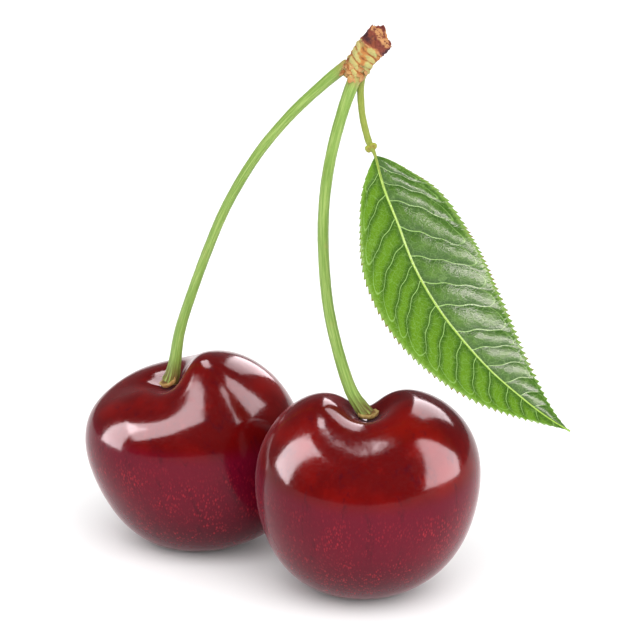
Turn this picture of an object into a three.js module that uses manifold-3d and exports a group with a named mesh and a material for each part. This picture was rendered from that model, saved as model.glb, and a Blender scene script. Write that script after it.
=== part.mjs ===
import * as THREE from 'three';
import Module from 'manifold-3d';
import { mergeVertices } from 'three/addons/utils/BufferGeometryUtils.js';

// Two sweet cherries on their stalks, joined at the short spur that they grew from, with one leaf.
// The fruits rest on z = 0 and carry the rest upright. Millimetres, +Z up, +X to the right and
// +Y to the back. The origin lies on the resting surface, under the middle of the whole part.

const wasm = await Module();
wasm.setup();

// Fruits. Each one is a sphere pulled to shape. egg, pear and square are the shares by which its
// side profile leaves a circle. dip is the depth of the hollow round the stalk, valley is how far
// the rim of the hollow drops at the front, and crease is the depth of the narrower notch behind
// it. lobe is the rise of the shoulders beside them, where the rim is ridgeRadius from the axis.
// Lean is to the right and nod is to the front, both in degrees.
const rightFruit = {
  halfWidth: 13.8,
  halfDepth: 12.1,
  halfHeight: 13.0,
  egg: 0.035,
  pear: -0.028,
  square: -0.024,
  dip: 3.0,
  dipRadius: 3.1,
  ridgeRadius: 7.5,
  valley: 1.85,
  valleyTurn: 0,
  crease: 3.5,
  creaseAt: 95,
  creaseSpread: 29.5,
  lobe: 0.59,
  lobeTip: -0.4,
  skew: 0.048,
  lean: -3.0,
  nod: 2.2,
  centre: [5.1, -7.8],
};
const leftFruit = {
  halfWidth: 13.8,
  halfDepth: 12.1,
  halfHeight: 12.75,
  egg: 0.12,
  pear: 0.019,
  square: -0.034,
  dip: 3.55,
  dipRadius: 3.2,
  ridgeRadius: 5.7,
  valley: 1.44,
  valleyTurn: -20,
  crease: 1.63,
  creaseAt: 80.5,
  creaseSpread: 38.5,
  lobe: -0.37,
  lobeTip: 1.5,
  skew: -0.096,
  lean: -14.6,
  nod: 7.3,
  centre: [-15.45, 7.7],
};
const restDepth = 0.3;
const fruitSegments = 40;
const fruitRings = 28;

// Brings the middle of the whole part over the origin
const middleShift = [0.4, 0.2, 0];

// Stalks, from the hollow in the fruit up to the spur
const rightStalkPath = [
  [4.95, -8.2, 22.95],
  [4.2, -8.1, 23.9],
  [2.9, -7.7, 26.1],
  [1.4, -6.5, 30.7],
  [0.2, -5.4, 36.4],
  [-0.3, -4.4, 43.1],
  [-0.1, -3.7, 48.9],
  [0.7, -3.1, 54.1],
  [2.0, -2.8, 59.1],
  [3.3, -2.5, 62.8],
];
const leftStalkPath = [
  [-19.3, 6.2, 21.6],
  [-18.95, 6.3, 22.5],
  [-18.6, 6.1, 24.3],
  [-17.9, 5.4, 28.5],
  [-16.6, 4.4, 33.0],
  [-14.4, 3.3, 39.5],
  [-11.8, 2.1, 46.0],
  [-8.3, 0.9, 52.4],
  [-4.3, -0.1, 57.7],
  [-0.2, -0.7, 61.9],
  [2.2, -1.1, 64.0],
];
const rightStalk = { path: rightStalkPath, foot: 0.9, middle: 0.66, top: 0.8 };
const leftStalk = { path: leftStalkPath, foot: 0.95, middle: 0.6, top: 0.75 };
const stalkSides = 12;
const stalkStations = 36;
const domeShare = 0.06;
const domeDepth = 0.4;

// Collar at each stalk's foot, square to the floor of the hollow that it sits in
const collarHalfThickness = 0.4;
const rightCollar = { radius: 1.25, facing: [0.04, -0.04, 1] };
const leftCollar = { radius: 1.15, facing: [-0.46, -0.1, 0.88] };

// Spur, the torn bark at its end and the dry bud scales round the stalks' tops
const spurPath = [
  [3.2, -1.9, 63.5],
  [3.8, -1.7, 64.5],
  [4.5, -1.5, 65.5],
  [5.3, -1.35, 66.4],
];
const spurRadius = 1.6;
const ringScars = 4;
const barkPath = [
  [5.55, -1.3, 66.65],
  [6.1, -1.2, 67.35],
  [6.85, -1.1, 68.35],
];
const barkRadius = 1.65;
const scaleCount = 9;
const skirtRadius = 1.75;
const skirtRise = 1.1;
const skirtDrop = 0.6;
const clearance = 0.2;

// Leaf. Its stalk runs on as the midrib. The two halves fold towards the upper side.
const leafStalkPath = [
  [4.1, -1.6, 62.3],
  [4.1, -2.1, 60.8],
  [4.3, -3.2, 58.7],
  [4.8, -4.4, 56.7],
  [5.3, -5.2, 55.4],
];
const midribPath = [
  [5.8, -5.7, 54.5],
  [6.8, -6.3, 50.8],
  [8.4, -7.1, 46.8],
  [10.4, -8.1, 41.7],
  [13.0, -9.1, 37.2],
  [16.1, -10.0, 33.2],
  [19.6, -10.7, 29.4],
  [23.4, -11.2, 26.1],
  [26.3, -11.6, 23.9],
  [29.0, -12.1, 22.3],
];
const leafFacing = new THREE.Vector3(0, -0.94, 0.34).normalize();
const leafHalfWidth = 7.75;
const leafEndHalfWidth = 0.3;
const leafThickness = 0.6;
const rightHalf = { side: 1, fold: 12, baseFullness: 0.74, tipFullness: 1.25 };
const leftHalf = { side: -1, fold: 36, baseFullness: 0.9, tipFullness: 1.3 };
const foldSoftness = 0.12;
const teethPerSide = 56;
const toothHeight = 0.35;
const toothForward = 0.3;
const sideVeins = 12;
const quiltDepth = 0.15;
const cellsAcross = 6;
const leafStalkRadius = 0.4;
const midribEndRadius = 0.3;
const glandRadius = 0.42;

function material(color, roughness) {
  return new THREE.MeshStandardMaterial({ color, roughness, metalness: 0 });
}

const fruitSkin = material(0x6d1513, 0.25);
const stalkSkin = material(0x97b55f, 0.55);
const spurSkin = material(0xb9ad72, 0.75);
const barkSkin = material(0x4a2420, 0.85);
const scaleSkin = material(0x9c5f35, 0.8);
const leafSkin = material(0x5f9436, 0.45);

function closedMesh(geometry) {
  geometry.deleteAttribute('normal');
  geometry.deleteAttribute('uv');
  const merged = mergeVertices(geometry, 1e-4);
  merged.computeVertexNormals();
  return merged;
}

function named(name, geometry, skin) {
  const mesh = new THREE.Mesh(geometry, skin);
  mesh.name = name;
  return mesh;
}

function toSolid(geometry) {
  const merged = closedMesh(geometry.clone());
  merged.deleteAttribute('normal');
  const vertProperties = new Float32Array(merged.attributes.position.array);
  const triVerts = new Uint32Array(merged.index.array);
  return new wasm.Manifold(new wasm.Mesh({ numProp: 3, vertProperties, triVerts }));
}

function toGeometry(solid) {
  const mesh = solid.getMesh();
  const geometry = new THREE.BufferGeometry();
  geometry.setAttribute('position', new THREE.BufferAttribute(mesh.vertProperties, 3));
  geometry.setIndex(new THREE.BufferAttribute(mesh.triVerts, 1));
  geometry.computeVertexNormals();
  return geometry;
}

// A smooth fruit point from its angle down from the top and its angle round the axis
function fruitPoint(fruit, down, round) {
  const height = Math.cos(down);
  const swell = 1
    + fruit.egg * height
    + fruit.pear * Math.cos(3 * down)
    + fruit.square * Math.cos(4 * down);
  const reach = swell * Math.sin(down);
  const x = fruit.halfWidth * reach * Math.cos(round);
  const y = fruit.halfDepth * reach * Math.sin(round);
  const radius = Math.hypot(x, y);
  const upper = 1 / (1 + Math.exp(-6 * height));
  const turn = round - THREE.MathUtils.degToRad(fruit.valleyTurn);
  const nearRidge = (radius / fruit.ridgeRadius) ** 2;
  const ridge = upper * nearRidge * Math.exp(1 - nearRidge);
  const hollow = upper * fruit.dip * Math.exp(-((radius / fruit.dipRadius) ** 2));
  const valley = fruit.valley * Math.max(-Math.sin(turn), 0) ** 2;
  const fromCrease = THREE.MathUtils.euclideanModulo(
    THREE.MathUtils.radToDeg(round) - fruit.creaseAt + 180,
    360,
  ) - 180;
  const crease = fruit.crease * Math.exp(-((fromCrease / fruit.creaseSpread) ** 2));
  const shoulder = Math.cos(turn) ** 2 * (fruit.lobe + fruit.lobeTip * Math.cos(turn));
  const rim = ridge * (shoulder - valley - crease);
  const z = fruit.halfHeight * swell * height - hollow + rim;
  return new THREE.Vector3(x + fruit.skew * z, y, z);
}

// The fruit leans as it lies, and its lowest part is pressed to a small flat spot at z = 0
function makeFruit(fruit) {
  const geometry = new THREE.SphereGeometry(1, fruitSegments, fruitRings);
  geometry.rotateX(Math.PI / 2);
  const place = geometry.attributes.position;
  const lean = new THREE.Matrix4().makeRotationY(THREE.MathUtils.degToRad(fruit.lean));
  const nod = new THREE.Matrix4().makeRotationX(THREE.MathUtils.degToRad(fruit.nod));
  const tilt = lean.multiply(nod);
  let lowest = Infinity;
  for (let i = 0; i < place.count; i += 1) {
    const down = Math.acos(THREE.MathUtils.clamp(place.getZ(i), -1, 1));
    const round = Math.atan2(place.getY(i), place.getX(i));
    const point = fruitPoint(fruit, down, round).applyMatrix4(tilt);
    place.setXYZ(i, point.x, point.y, point.z);
    lowest = Math.min(lowest, point.z);
  }
  for (let i = 0; i < place.count; i += 1) {
    place.setZ(i, Math.max(place.getZ(i) - lowest - restDepth, 0));
  }
  return closedMesh(geometry);
}

function curveThrough(points) {
  const vectors = points.map((point) => new THREE.Vector3(...point));
  return new THREE.CatmullRomCurve3(vectors, false, 'catmullrom', 0.5);
}

// A closed rod round a curve. shape gives, for a station from 0 to 1 and an angle round the
// curve, the distance along the curve and the distance from it.
function bentRod(curve, sides, stations, shape) {
  const geometry = new THREE.CylinderGeometry(1, 1, 1, sides, stations);
  const place = geometry.attributes.position;
  const length = curve.getLength();
  const back = new THREE.Vector3(0, 1, 0);
  for (let i = 0; i < place.count; i += 1) {
    const station = place.getY(i) + 0.5;
    const angle = Math.atan2(place.getX(i), place.getZ(i));
    const isRim = Math.hypot(place.getX(i), place.getZ(i)) > 0.5;
    const [along, radius] = shape(station, angle, length);
    const share = THREE.MathUtils.clamp(along / length, 0, 1);
    const tangent = curve.getTangentAt(share);
    const side = new THREE.Vector3().crossVectors(back, tangent).normalize();
    const front = new THREE.Vector3().crossVectors(side, tangent).normalize();
    const point = curve.getPointAt(share);
    if (isRim) {
      point.addScaledVector(side, radius * Math.sin(angle));
      point.addScaledVector(front, radius * Math.cos(angle));
    }
    place.setXYZ(i, point.x, point.y, point.z);
  }
  return closedMesh(geometry);
}

// A stalk widens at its top and, ribbed, at its foot, which ends in a low dome
function stalkShape(stalk, extra) {
  return (station, angle, length) => {
    if (station < domeShare) {
      const turn = (station / domeShare) * (Math.PI / 2);
      return [domeDepth * (1 - Math.cos(turn)), stalk.foot * (0.3 + 0.7 * Math.sin(turn)) + extra];
    }
    const run = ((station - domeShare) / (1 - domeShare)) ** 1.6;
    const along = domeDepth + (length - domeDepth) * run;
    const fromFoot = along - domeDepth;
    const flare = (stalk.foot - stalk.middle) * Math.exp(-fromFoot / 4);
    const widening = (stalk.top - stalk.middle) * Math.exp((along - length) / 4);
    const ribs = 1 + 0.08 * Math.cos(6 * angle) * Math.exp(-fromFoot / 2.5);
    return [along, (stalk.middle + flare + widening) * ribs + extra];
  };
}

function makeStalkRod(stalk, extra = 0) {
  return bentRod(curveThrough(stalk.path), stalkSides, stalkStations, stalkShape(stalk, extra));
}

function makeStalk(stalk, collar) {
  const disc = new THREE.SphereGeometry(1, 20, 10);
  disc.scale(collar.radius, collarHalfThickness, collar.radius);
  const facing = new THREE.Vector3(...collar.facing).normalize();
  disc.applyQuaternion(new THREE.Quaternion().setFromUnitVectors(new THREE.Vector3(0, 1, 0), facing));
  disc.translate(...stalk.path[0]);
  return toGeometry(toSolid(makeStalkRod(stalk)).add(toSolid(disc)));
}

// Ring scars stand out round the spur, and it narrows where the stalks leave it
function makeSpur(extra = 0) {
  return bentRod(curveThrough(spurPath), 18, 28, (station, angle, length) => {
    const body = spurRadius * (1 - 0.33 * Math.exp(-station / 0.25));
    const scar = 0.1 * Math.cos(2 * Math.PI * ringScars * (station + 0.03 * Math.sin(angle)));
    const knobs = 0.08 * Math.sin(3 * angle + 5 * station) + 0.05 * Math.sin(5 * angle - 9 * station);
    return [station * length, body + scar + knobs + extra];
  });
}

// The scrap of bark is lumpy, and its torn top slopes to one side and ends in a short spike
function makeBark() {
  return bentRod(curveThrough(barkPath), 18, 14, (station, angle, length) => {
    const lumps = 1 + 0.1 * Math.sin(3 * angle + 1) + 0.06 * Math.sin(5 * angle + 6 * station);
    const body = barkRadius * lumps * (1 - 0.08 * station);
    if (station < 0.65) {
      return [(station / 0.65) * length * 0.7, body];
    }
    const inward = (station - 0.65) / 0.35;
    const slope = 0.12 * Math.sin(angle - 0.6) + 0.1 * Math.sin(4 * angle);
    const spike = 0.6 * Math.exp(-(((inward - 0.5) / 0.3) ** 2)) * Math.max(Math.sin(angle), 0) ** 4;
    return [length * (0.7 + slope * (1 - inward) + spike), body * (1 - 0.9 * inward)];
  });
}

// A ragged skirt of pointed dry scales, cut clear of the spur, the stalks and the leaf stalk
function makeBudScales() {
  const start = new THREE.Vector3(...spurPath[0]);
  const axis = new THREE.Vector3(...spurPath[0]).sub(new THREE.Vector3(...spurPath[1])).normalize();
  const inner = skirtRadius - 0.8;
  const sides = scaleCount * 2;
  const profile = [
    new THREE.Vector2(inner, -skirtRise),
    new THREE.Vector2(skirtRadius, -skirtRise),
    new THREE.Vector2(skirtRadius + 0.1, -skirtRise / 2),
    new THREE.Vector2(skirtRadius, 0),
    new THREE.Vector2(skirtRadius - 0.25, skirtDrop),
    new THREE.Vector2(inner, skirtDrop),
    new THREE.Vector2(inner, -skirtRise),
  ];
  const geometry = new THREE.LatheGeometry(profile, sides);
  const place = geometry.attributes.position;
  for (let i = 0; i < place.count; i += 1) {
    const angle = Math.atan2(place.getX(i), place.getZ(i));
    const point = 1 - Math.abs(Math.sin((scaleCount * angle) / 2));
    const drop = Math.max(place.getY(i), 0) * (0.3 + 0.7 * point);
    place.setY(i, Math.min(place.getY(i), 0) + drop);
  }
  geometry.applyQuaternion(new THREE.Quaternion().setFromUnitVectors(new THREE.Vector3(0, 1, 0), axis));
  geometry.translate(start.x, start.y, start.z);
  const neighbours = [
    makeSpur(clearance),
    makeStalkRod(rightStalk, clearance),
    makeStalkRod(leftStalk, clearance),
    makeLeafStalk(clearance),
  ];
  const cut = neighbours.reduce((left, other) => left.subtract(toSolid(other)), toSolid(geometry));
  const pieces = cut.decompose().sort((a, b) => b.volume() - a.volume());
  return toGeometry(pieces[0]);
}

// The leaf's stalk and midrib in one rod, which thins out towards the tip
function makeLeafStalk(extra = 0) {
  const curve = curveThrough([...leafStalkPath, ...midribPath]);
  return bentRod(curve, 8, 60, (station, angle, length) => {
    const taper = Math.max((station - 0.2) / 0.8, 0);
    const flare = 0.12 * Math.exp(-station / 0.02);
    const radius = THREE.MathUtils.lerp(leafStalkRadius, midribEndRadius, taper) + flare;
    return [station * length * 0.985, radius + extra];
  });
}

function bladeHalfWidth(half, share) {
  const widestAt = half.baseFullness / (half.baseFullness + half.tipFullness);
  const rise = (share / widestAt) ** half.baseFullness;
  const fall = ((1 - share) / (1 - widestAt)) ** half.tipFullness;
  return Math.max(leafHalfWidth * rise * fall, leafEndHalfWidth);
}

// The blade is a thin box bent along the midrib, folded, quilted between its side veins and
// toothed along both edges. Both faces follow the same formula.
function makeBlade() {
  const stations = teethPerSide * 2;
  const geometry = new THREE.BoxGeometry(2, 1, 1, cellsAcross, stations, 1);
  const place = geometry.attributes.position;
  const curve = curveThrough(midribPath);
  const length = curve.getLength();
  for (let i = 0; i < place.count; i += 1) {
    const across = place.getX(i);
    const share = place.getY(i) + 0.5;
    const isTooth = Math.round(share * stations) % 2 === 1 && Math.abs(across) > 0.99;
    const tangent = curve.getTangentAt(share);
    const side = new THREE.Vector3().crossVectors(tangent, leafFacing).normalize().negate();
    const facing = new THREE.Vector3().crossVectors(tangent, side).normalize();
    const half = across < 0 ? leftHalf : rightHalf;
    const fold = THREE.MathUtils.degToRad(half.fold);
    const smooth = bladeHalfWidth(half, share);
    const tooth = isTooth ? Math.min(smooth / 3, 1) : 0;
    const width = smooth + tooth * toothHeight;
    const bend = Math.hypot(across, foldSoftness) - foldSoftness;
    const veinPhase = share * sideVeins - 0.9 * Math.abs(across) + 0.25 * half.side;
    const quilt = quiltDepth * Math.sin(2 * Math.PI * veinPhase) * Math.sin(Math.PI * Math.abs(across));
    const rise = width * bend * Math.sin(fold) + quilt - place.getZ(i) * leafThickness;
    const point = curve.getPointAt(share);
    point.addScaledVector(side, width * across * Math.cos(fold));
    point.addScaledVector(facing, rise);
    point.addScaledVector(tangent, tooth * toothForward);
    place.setXYZ(i, point.x, point.y, point.z);
  }
  return closedMesh(geometry);
}

// Two small nectar glands sit on the leaf's stalk, just before the blade
function makeGlands() {
  const last = new THREE.Vector3(...leafStalkPath[leafStalkPath.length - 1]);
  return [-1, 1].map((sign) => {
    const gland = new THREE.SphereGeometry(glandRadius, 10, 8);
    gland.translate(last.x + sign * leafStalkRadius, last.y, last.z + 0.25 * sign);
    return gland;
  });
}

function makeLeaf() {
  const rib = makeLeafStalk();
  const solids = [rib, ...makeGlands()].map(toSolid);
  return toGeometry(solids.reduce((joined, other) => joined.add(other), toSolid(makeBlade())));
}

function placedFruit(name, fruit) {
  const mesh = named(name, makeFruit(fruit), fruitSkin);
  mesh.position.set(fruit.centre[0], fruit.centre[1], 0);
  return mesh;
}

const cherries = new THREE.Group();
cherries.add(
  placedFruit('cherry_right', rightFruit),
  placedFruit('cherry_left', leftFruit),
  named('stalk_right', makeStalk(rightStalk, rightCollar), stalkSkin),
  named('stalk_left', makeStalk(leftStalk, leftCollar), stalkSkin),
  named('spur', makeSpur(), spurSkin),
  named('torn_bark', makeBark(), barkSkin),
  named('bud_scales', makeBudScales(), scaleSkin),
  named('leaf', makeLeaf(), leafSkin),
);
cherries.position.set(...middleShift);

export default cherries;
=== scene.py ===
import math
import random

import bpy
import numpy as np
from mathutils import Matrix


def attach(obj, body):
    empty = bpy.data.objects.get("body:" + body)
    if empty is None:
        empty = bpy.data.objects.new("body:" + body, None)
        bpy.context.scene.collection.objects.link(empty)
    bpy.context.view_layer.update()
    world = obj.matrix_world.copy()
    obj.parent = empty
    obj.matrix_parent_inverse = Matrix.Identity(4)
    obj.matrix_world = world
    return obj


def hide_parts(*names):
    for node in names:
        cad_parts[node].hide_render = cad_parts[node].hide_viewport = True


# Two sweet cherries on their stalks, the spur that joins them, and their leaf.
# Sizes of the part are in millimetres, and are turned into metres where a mesh is made.
# Materials, lights and the floor are in metres throughout.

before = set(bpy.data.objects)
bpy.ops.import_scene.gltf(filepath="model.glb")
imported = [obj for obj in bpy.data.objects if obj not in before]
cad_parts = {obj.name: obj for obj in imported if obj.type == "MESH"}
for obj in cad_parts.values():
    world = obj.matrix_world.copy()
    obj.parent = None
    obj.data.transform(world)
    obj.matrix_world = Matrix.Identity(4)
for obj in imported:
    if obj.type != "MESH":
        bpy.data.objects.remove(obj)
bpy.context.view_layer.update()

MM = 0.001
BODY = "root"
BACKWARD = (0, 1, 0)
rng = random.Random(7)

# Brings the middle of the whole part over the origin, as in the solids
MIDDLE_SHIFT = np.array([0.4, 0.2, 0.0])

# Steps that a smooth line is worked out in, between two of its given points
LINE_STEPS = 60

# Fruits: the same shape formula and values as the solids. Each lies on a flat spot that is
# pressed REST_DEPTH into it.
REST_DEPTH = 0.3
RIGHT_FRUIT = dict(
    half=(13.8, 12.1, 13.0), egg=0.035, pear=-0.028, square=-0.024, dip=3.0, dip_radius=3.1,
    ridge_radius=7.5, valley=1.85, valley_turn=0.0, crease=3.5, crease_at=95.0,
    crease_spread=29.5, lobe=0.59, lobe_tip=-0.4, skew=0.048, lean=-3.0, nod=2.2,
    centre=(5.1, -7.8),
)
LEFT_FRUIT = dict(
    half=(13.8, 12.1, 12.75), egg=0.12, pear=0.019, square=-0.034, dip=3.55, dip_radius=3.2,
    ridge_radius=5.7, valley=1.44, valley_turn=-20.0, crease=1.63, crease_at=80.5,
    crease_spread=38.5, lobe=-0.37, lobe_tip=1.5, skew=-0.096, lean=-14.6, nod=7.3,
    centre=(-15.45, 7.7),
)
FRUIT_SEGMENTS = 168
FRUIT_RINGS = 120
UPPER_SHARPNESS = 6

# Stalks: the same lines as the solids, run on a little into the spur
RIGHT_STALK_PATH = [
    (4.95, -8.2, 22.95), (4.2, -8.1, 23.9), (2.9, -7.7, 26.1), (1.4, -6.5, 30.7),
    (0.2, -5.4, 36.4), (-0.3, -4.4, 43.1), (-0.1, -3.7, 48.9), (0.7, -3.1, 54.1),
    (2.0, -2.8, 59.1), (3.3, -2.5, 62.8), (3.5, -2.4, 63.4),
]
LEFT_STALK_PATH = [
    (-19.3, 6.2, 21.6), (-18.95, 6.3, 22.5), (-18.6, 6.1, 24.3), (-17.9, 5.4, 28.5),
    (-16.6, 4.4, 33.0), (-14.4, 3.3, 39.5), (-11.8, 2.1, 46.0), (-8.3, 0.9, 52.4),
    (-4.3, -0.1, 57.7), (-0.2, -0.7, 61.9), (2.2, -1.1, 64.0), (2.6, -1.2, 64.3),
]
RIGHT_STALK = dict(path=RIGHT_STALK_PATH, foot=0.9, middle=0.66, top=0.8, turn=0.4)
LEFT_STALK = dict(path=LEFT_STALK_PATH, foot=0.95, middle=0.6, top=0.75, turn=1.3)
STALK_GRID = (260, 40)
STALK_FLARE_LENGTH = 4
STALK_TWIST = 0.03
FOOT_RIBS = 7
FOOT_RIB_RISE = 0.13
FOOT_RIB_LENGTH = 2.6

# Collars: the corky discs at the stalks' feet. Each rim lifts at the angle of its flap.
RIGHT_COLLAR = dict(radius=1.3, facing=(0.04, -0.04, 1.0), flap=-0.6, flap_rise=0.25)
LEFT_COLLAR = dict(radius=1.2, facing=(-0.46, -0.1, 0.88), flap=0.3, flap_rise=0.55)
COLLAR_GRID = (30, 96)
COLLAR_HALF_THICKNESS = 0.38
COLLAR_RIM_RISE = 0.24

# Spur: its ends run on a little into the scales and the bark
SPUR_PATH = [
    (2.75, -2.05, 62.8), (3.2, -1.9, 63.5), (3.8, -1.7, 64.5), (4.5, -1.5, 65.5),
    (5.3, -1.35, 66.4), (5.7, -1.28, 66.9),
]
SPUR_RADIUS = 1.6
SPUR_NARROWING = 0.33
SPUR_GRID = (110, 84)
RING_SCARS = 6.4
SCAR_RISE = 0.2

# Torn bark: its wall takes BARK_WALL of the rows, and its torn face is higher at the back
BARK_PATH = [(5.3, -1.35, 66.35), (6.1, -1.2, 67.35), (6.85, -1.1, 68.35), (7.3, -1.0, 69.0)]
BARK_RADIUS = 1.62
BARK_FRONT_RISE = 1.65
BARK_BACK_RISE = 2.2
BARK_SPIKE = 0.7
BARK_SPIKE_TURN = 3.2
BARK_WALL = 0.5
BARK_GRID = (120, 110)

# Bud scales: for each row their number, their place up the spur and their distance from its axis
SCALE_ROWS = ((13, 1.3, 1.42), (11, 0.65, 1.28), (8, 1.9, 1.5))
SCALE_GRID = (9, 7)
SCALE_HALF_THICKNESS = 0.05

# Leaf: the same lines as the solid, with the stalk starting a little inside the spur
LEAF_STALK_PATH = [
    (4.1, -1.3, 63.1), (4.1, -1.6, 62.3), (4.1, -2.1, 60.8), (4.3, -3.2, 58.7), (4.8, -4.4, 56.7),
    (5.3, -5.2, 55.4),
]
MIDRIB_PATH = [
    (5.8, -5.7, 54.5), (6.8, -6.3, 50.8), (8.4, -7.1, 46.8), (10.4, -8.1, 41.7),
    (13.0, -9.1, 37.2), (16.1, -10.0, 33.2), (19.6, -10.7, 29.4), (23.4, -11.2, 26.1),
    (26.3, -11.6, 23.9), (29.0, -12.1, 22.3),
]
LEAF_STALK_GRID = (120, 28)
LEAF_STALK_RADIUS = 0.4
GLAND_GRID = (22, 32)
GLAND_RADIUS = 0.46
GLAND_HALF_HEIGHT = 0.34
LEAF_FACING = np.array([0.0, -0.94, 0.34])
LEAF_HALF_WIDTH = 7.75
LEAF_END_HALF_WIDTH = 0.12
RIGHT_HALF = dict(fold=12, base=0.74, tip=1.25)
LEFT_HALF = dict(fold=36, base=0.9, tip=1.3)
FOLD_SOFTNESS = 0.08
WAVE_HEIGHT = 0.2
RIGHT_DROOP = 0.8
MIDRIB_GROOVE = 0.06
MIDRIB_RISE_BELOW = 0.35
VEIN_RISE_BELOW = 0.14
EDGE_AT = 0.9
TEETH_PER_SIDE = 56
TOOTH_HEIGHT = 0.36
TOOTH_FORWARD = 0.25
TOOTH_TIP = 0.78
TOOTH_STATIONS = 8
BLADE_CELLS = 60
BLADE_THICKNESS = 0.3

# Side veins: each starts at a share of the midrib, and slopes and bows towards the tip
LEFT_VEIN_STARTS = [.05, .11, .19, .26, .33, .38, .46, .517, .585, .65, .71, .775, .83, .885]
RIGHT_VEIN_STARTS = [.03, .075, .13, .215, .30, .387, .465, .56, .625, .695, .76, .82, .875]
LEFT_VEIN_SLOPE = 0.45
RIGHT_VEIN_SLOPE = 0.62
VEIN_BOW = 0.34
VEIN_WIDTH = 0.078
QUILT = 0.09

# Camera: fitted to the photograph's outlines. PX_PER_MM is the scale at its target.
PHOTO_SIZE = 640
PX_PER_MM = 8.27
CAMERA_DISTANCE = 420.0
CAMERA_ELEVATION = math.radians(20)
CAMERA_TARGET = np.array([-0.28, -0.1, 32.07])
SENSOR = 36.0

# Floor, lights, and how near and far the camera sees
CAMERA_NEAREST = 0.01
CAMERA_FARTHEST = 10.0
FLOOR_HALF = 1.6
FLOOR_DARK = (0.92, 0.92, 0.92)
FLOOR_LIGHT = (0.94, 0.94, 0.94)
LIGHT_CENTRE = np.array([0.0, 0.0, 0.018])
PANEL_DISTANCE = 0.6
WALL_DISTANCE = 0.5
SOFT_DISTANCE = 2.0
MIRRORED_SURROUNDING = 0.12
WHITE = (1.0, 1.0, 1.0)
PINKISH = (1.0, 0.86, 0.90)


def unit(vector):
    vector = np.asarray(vector, float)
    return vector / np.linalg.norm(vector, axis=-1, keepdims=True)


def turn_matrix(axis, degrees):
    cosine = math.cos(math.radians(degrees))
    sine = math.sin(math.radians(degrees))
    if axis == "x":
        return np.array([[1, 0, 0], [0, cosine, -sine], [0, sine, cosine]])
    return np.array([[cosine, 0, sine], [0, 1, 0], [-sine, 0, cosine]])


def through(points, share):
    """Points and tangents at shares of a smooth line's length."""
    points = np.array(points, float)
    ends = np.vstack([2 * points[0] - points[1], points, 2 * points[-1] - points[-2]])
    fine = []
    for i in range(len(points) - 1):
        a, b, c, d = ends[i:i + 4]
        run = np.linspace(0, 1, LINE_STEPS, endpoint=i == len(points) - 2)[:, None]
        fine.append(0.5 * (2 * b + (c - a) * run + (2 * a - 5 * b + 4 * c - d) * run ** 2
                           + (3 * b - a - 3 * c + d) * run ** 3))
    fine = np.vstack(fine)
    steps = np.linalg.norm(np.diff(fine, axis=0), axis=1)
    length = np.concatenate([[0], np.cumsum(steps)])
    slope = np.gradient(fine, length, axis=0)
    at = np.asarray(share) * length[-1]
    place = np.stack([np.interp(at, length, fine[:, k]) for k in range(3)], -1)
    tangent = np.stack([np.interp(at, length, slope[:, k]) for k in range(3)], -1)
    return place, unit(tangent), length[-1]


def path_length(path):
    return through(path, [0.0])[2]


def turn_from(angles, centre):
    """The turns from one angle to others, at most half a turn to either side."""
    return np.angle(np.exp(1j * (angles - centre)))


def add_object(name, data):
    made = bpy.data.objects.new(name, data)
    bpy.context.scene.collection.objects.link(made)
    return made


def make_piece(name, points, faces, material, node, values):
    """One smooth mesh object that rides on the part and, where a node is given, replaces it."""
    mesh = bpy.data.meshes.new(name)
    mesh.from_pydata((np.asarray(points) * MM).tolist(), [], faces)
    mesh.validate()
    mesh.shade_smooth()
    for key, data in values.items():
        attribute = mesh.attributes.new(key, "FLOAT", "POINT")
        attribute.data.foreach_set("value", np.asarray(data, np.float32).ravel())
    mesh.materials.append(material)
    piece = add_object(name, mesh)
    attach(piece, BODY)
    if node:
        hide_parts(node)
    return piece


def tube_faces(rows, columns):
    """Faces of a closed skin of rows round an axis, with one point at each end."""
    faces = []
    last = 1 + rows * columns
    for j in range(columns):
        k = (j + 1) % columns
        faces.append((0, 1 + k, 1 + j))
        low = 1 + (rows - 1) * columns
        faces.append((last, low + j, low + k))
        for i in range(rows - 1):
            a = 1 + i * columns
            b = a + columns
            faces.append((a + j, a + k, b + k, b + j))
    return faces


def sheet_faces(rows, columns, first=0):
    """Faces of a thin closed sheet whose two sides are grids, one after the other."""
    second = first + rows * columns
    faces = []
    for i in range(rows - 1):
        for j in range(columns - 1):
            a = i * columns + j
            b = a + columns
            faces.append((first + a, first + a + 1, first + b + 1, first + b))
            faces.append((second + a, second + b, second + b + 1, second + a + 1))
    rim = ([(0, j) for j in range(columns)] + [(i, columns - 1) for i in range(1, rows)]
           + [(rows - 1, j) for j in range(columns - 2, -1, -1)]
           + [(i, 0) for i in range(rows - 2, 0, -1)])
    rim = [i * columns + j for i, j in rim]
    for a, b in zip(rim, rim[1:] + rim[:1]):
        faces.append((first + b, first + a, second + a, second + b))
    return faces


def skin_points(rings, first=None, last=None):
    """The points of a closed skin. Its ends lie in the middle of the end rings unless given."""
    first = rings[0].mean(0) if first is None else first
    last = rings[-1].mean(0) if last is None else last
    return np.vstack([first[None, :], rings.reshape(-1, 3), last[None, :]])


def skin_values(rings, first, last):
    """One value for each point of a closed skin."""
    return np.concatenate([[first], np.asarray(rings).ravel(), [last]])


def wobble(seed, *waves):
    """A smooth uneven value from a few sine waves with seeded phases."""
    draw = random.Random(seed)
    total = 0
    for values, count, size in waves:
        total = total + size * np.sin(count * values + draw.uniform(0, 2 * math.pi))
    return total


# Materials

MIX_COLOR_INPUTS = (6, 7)
MIX_COLOR_OUTPUT = 2


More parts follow.
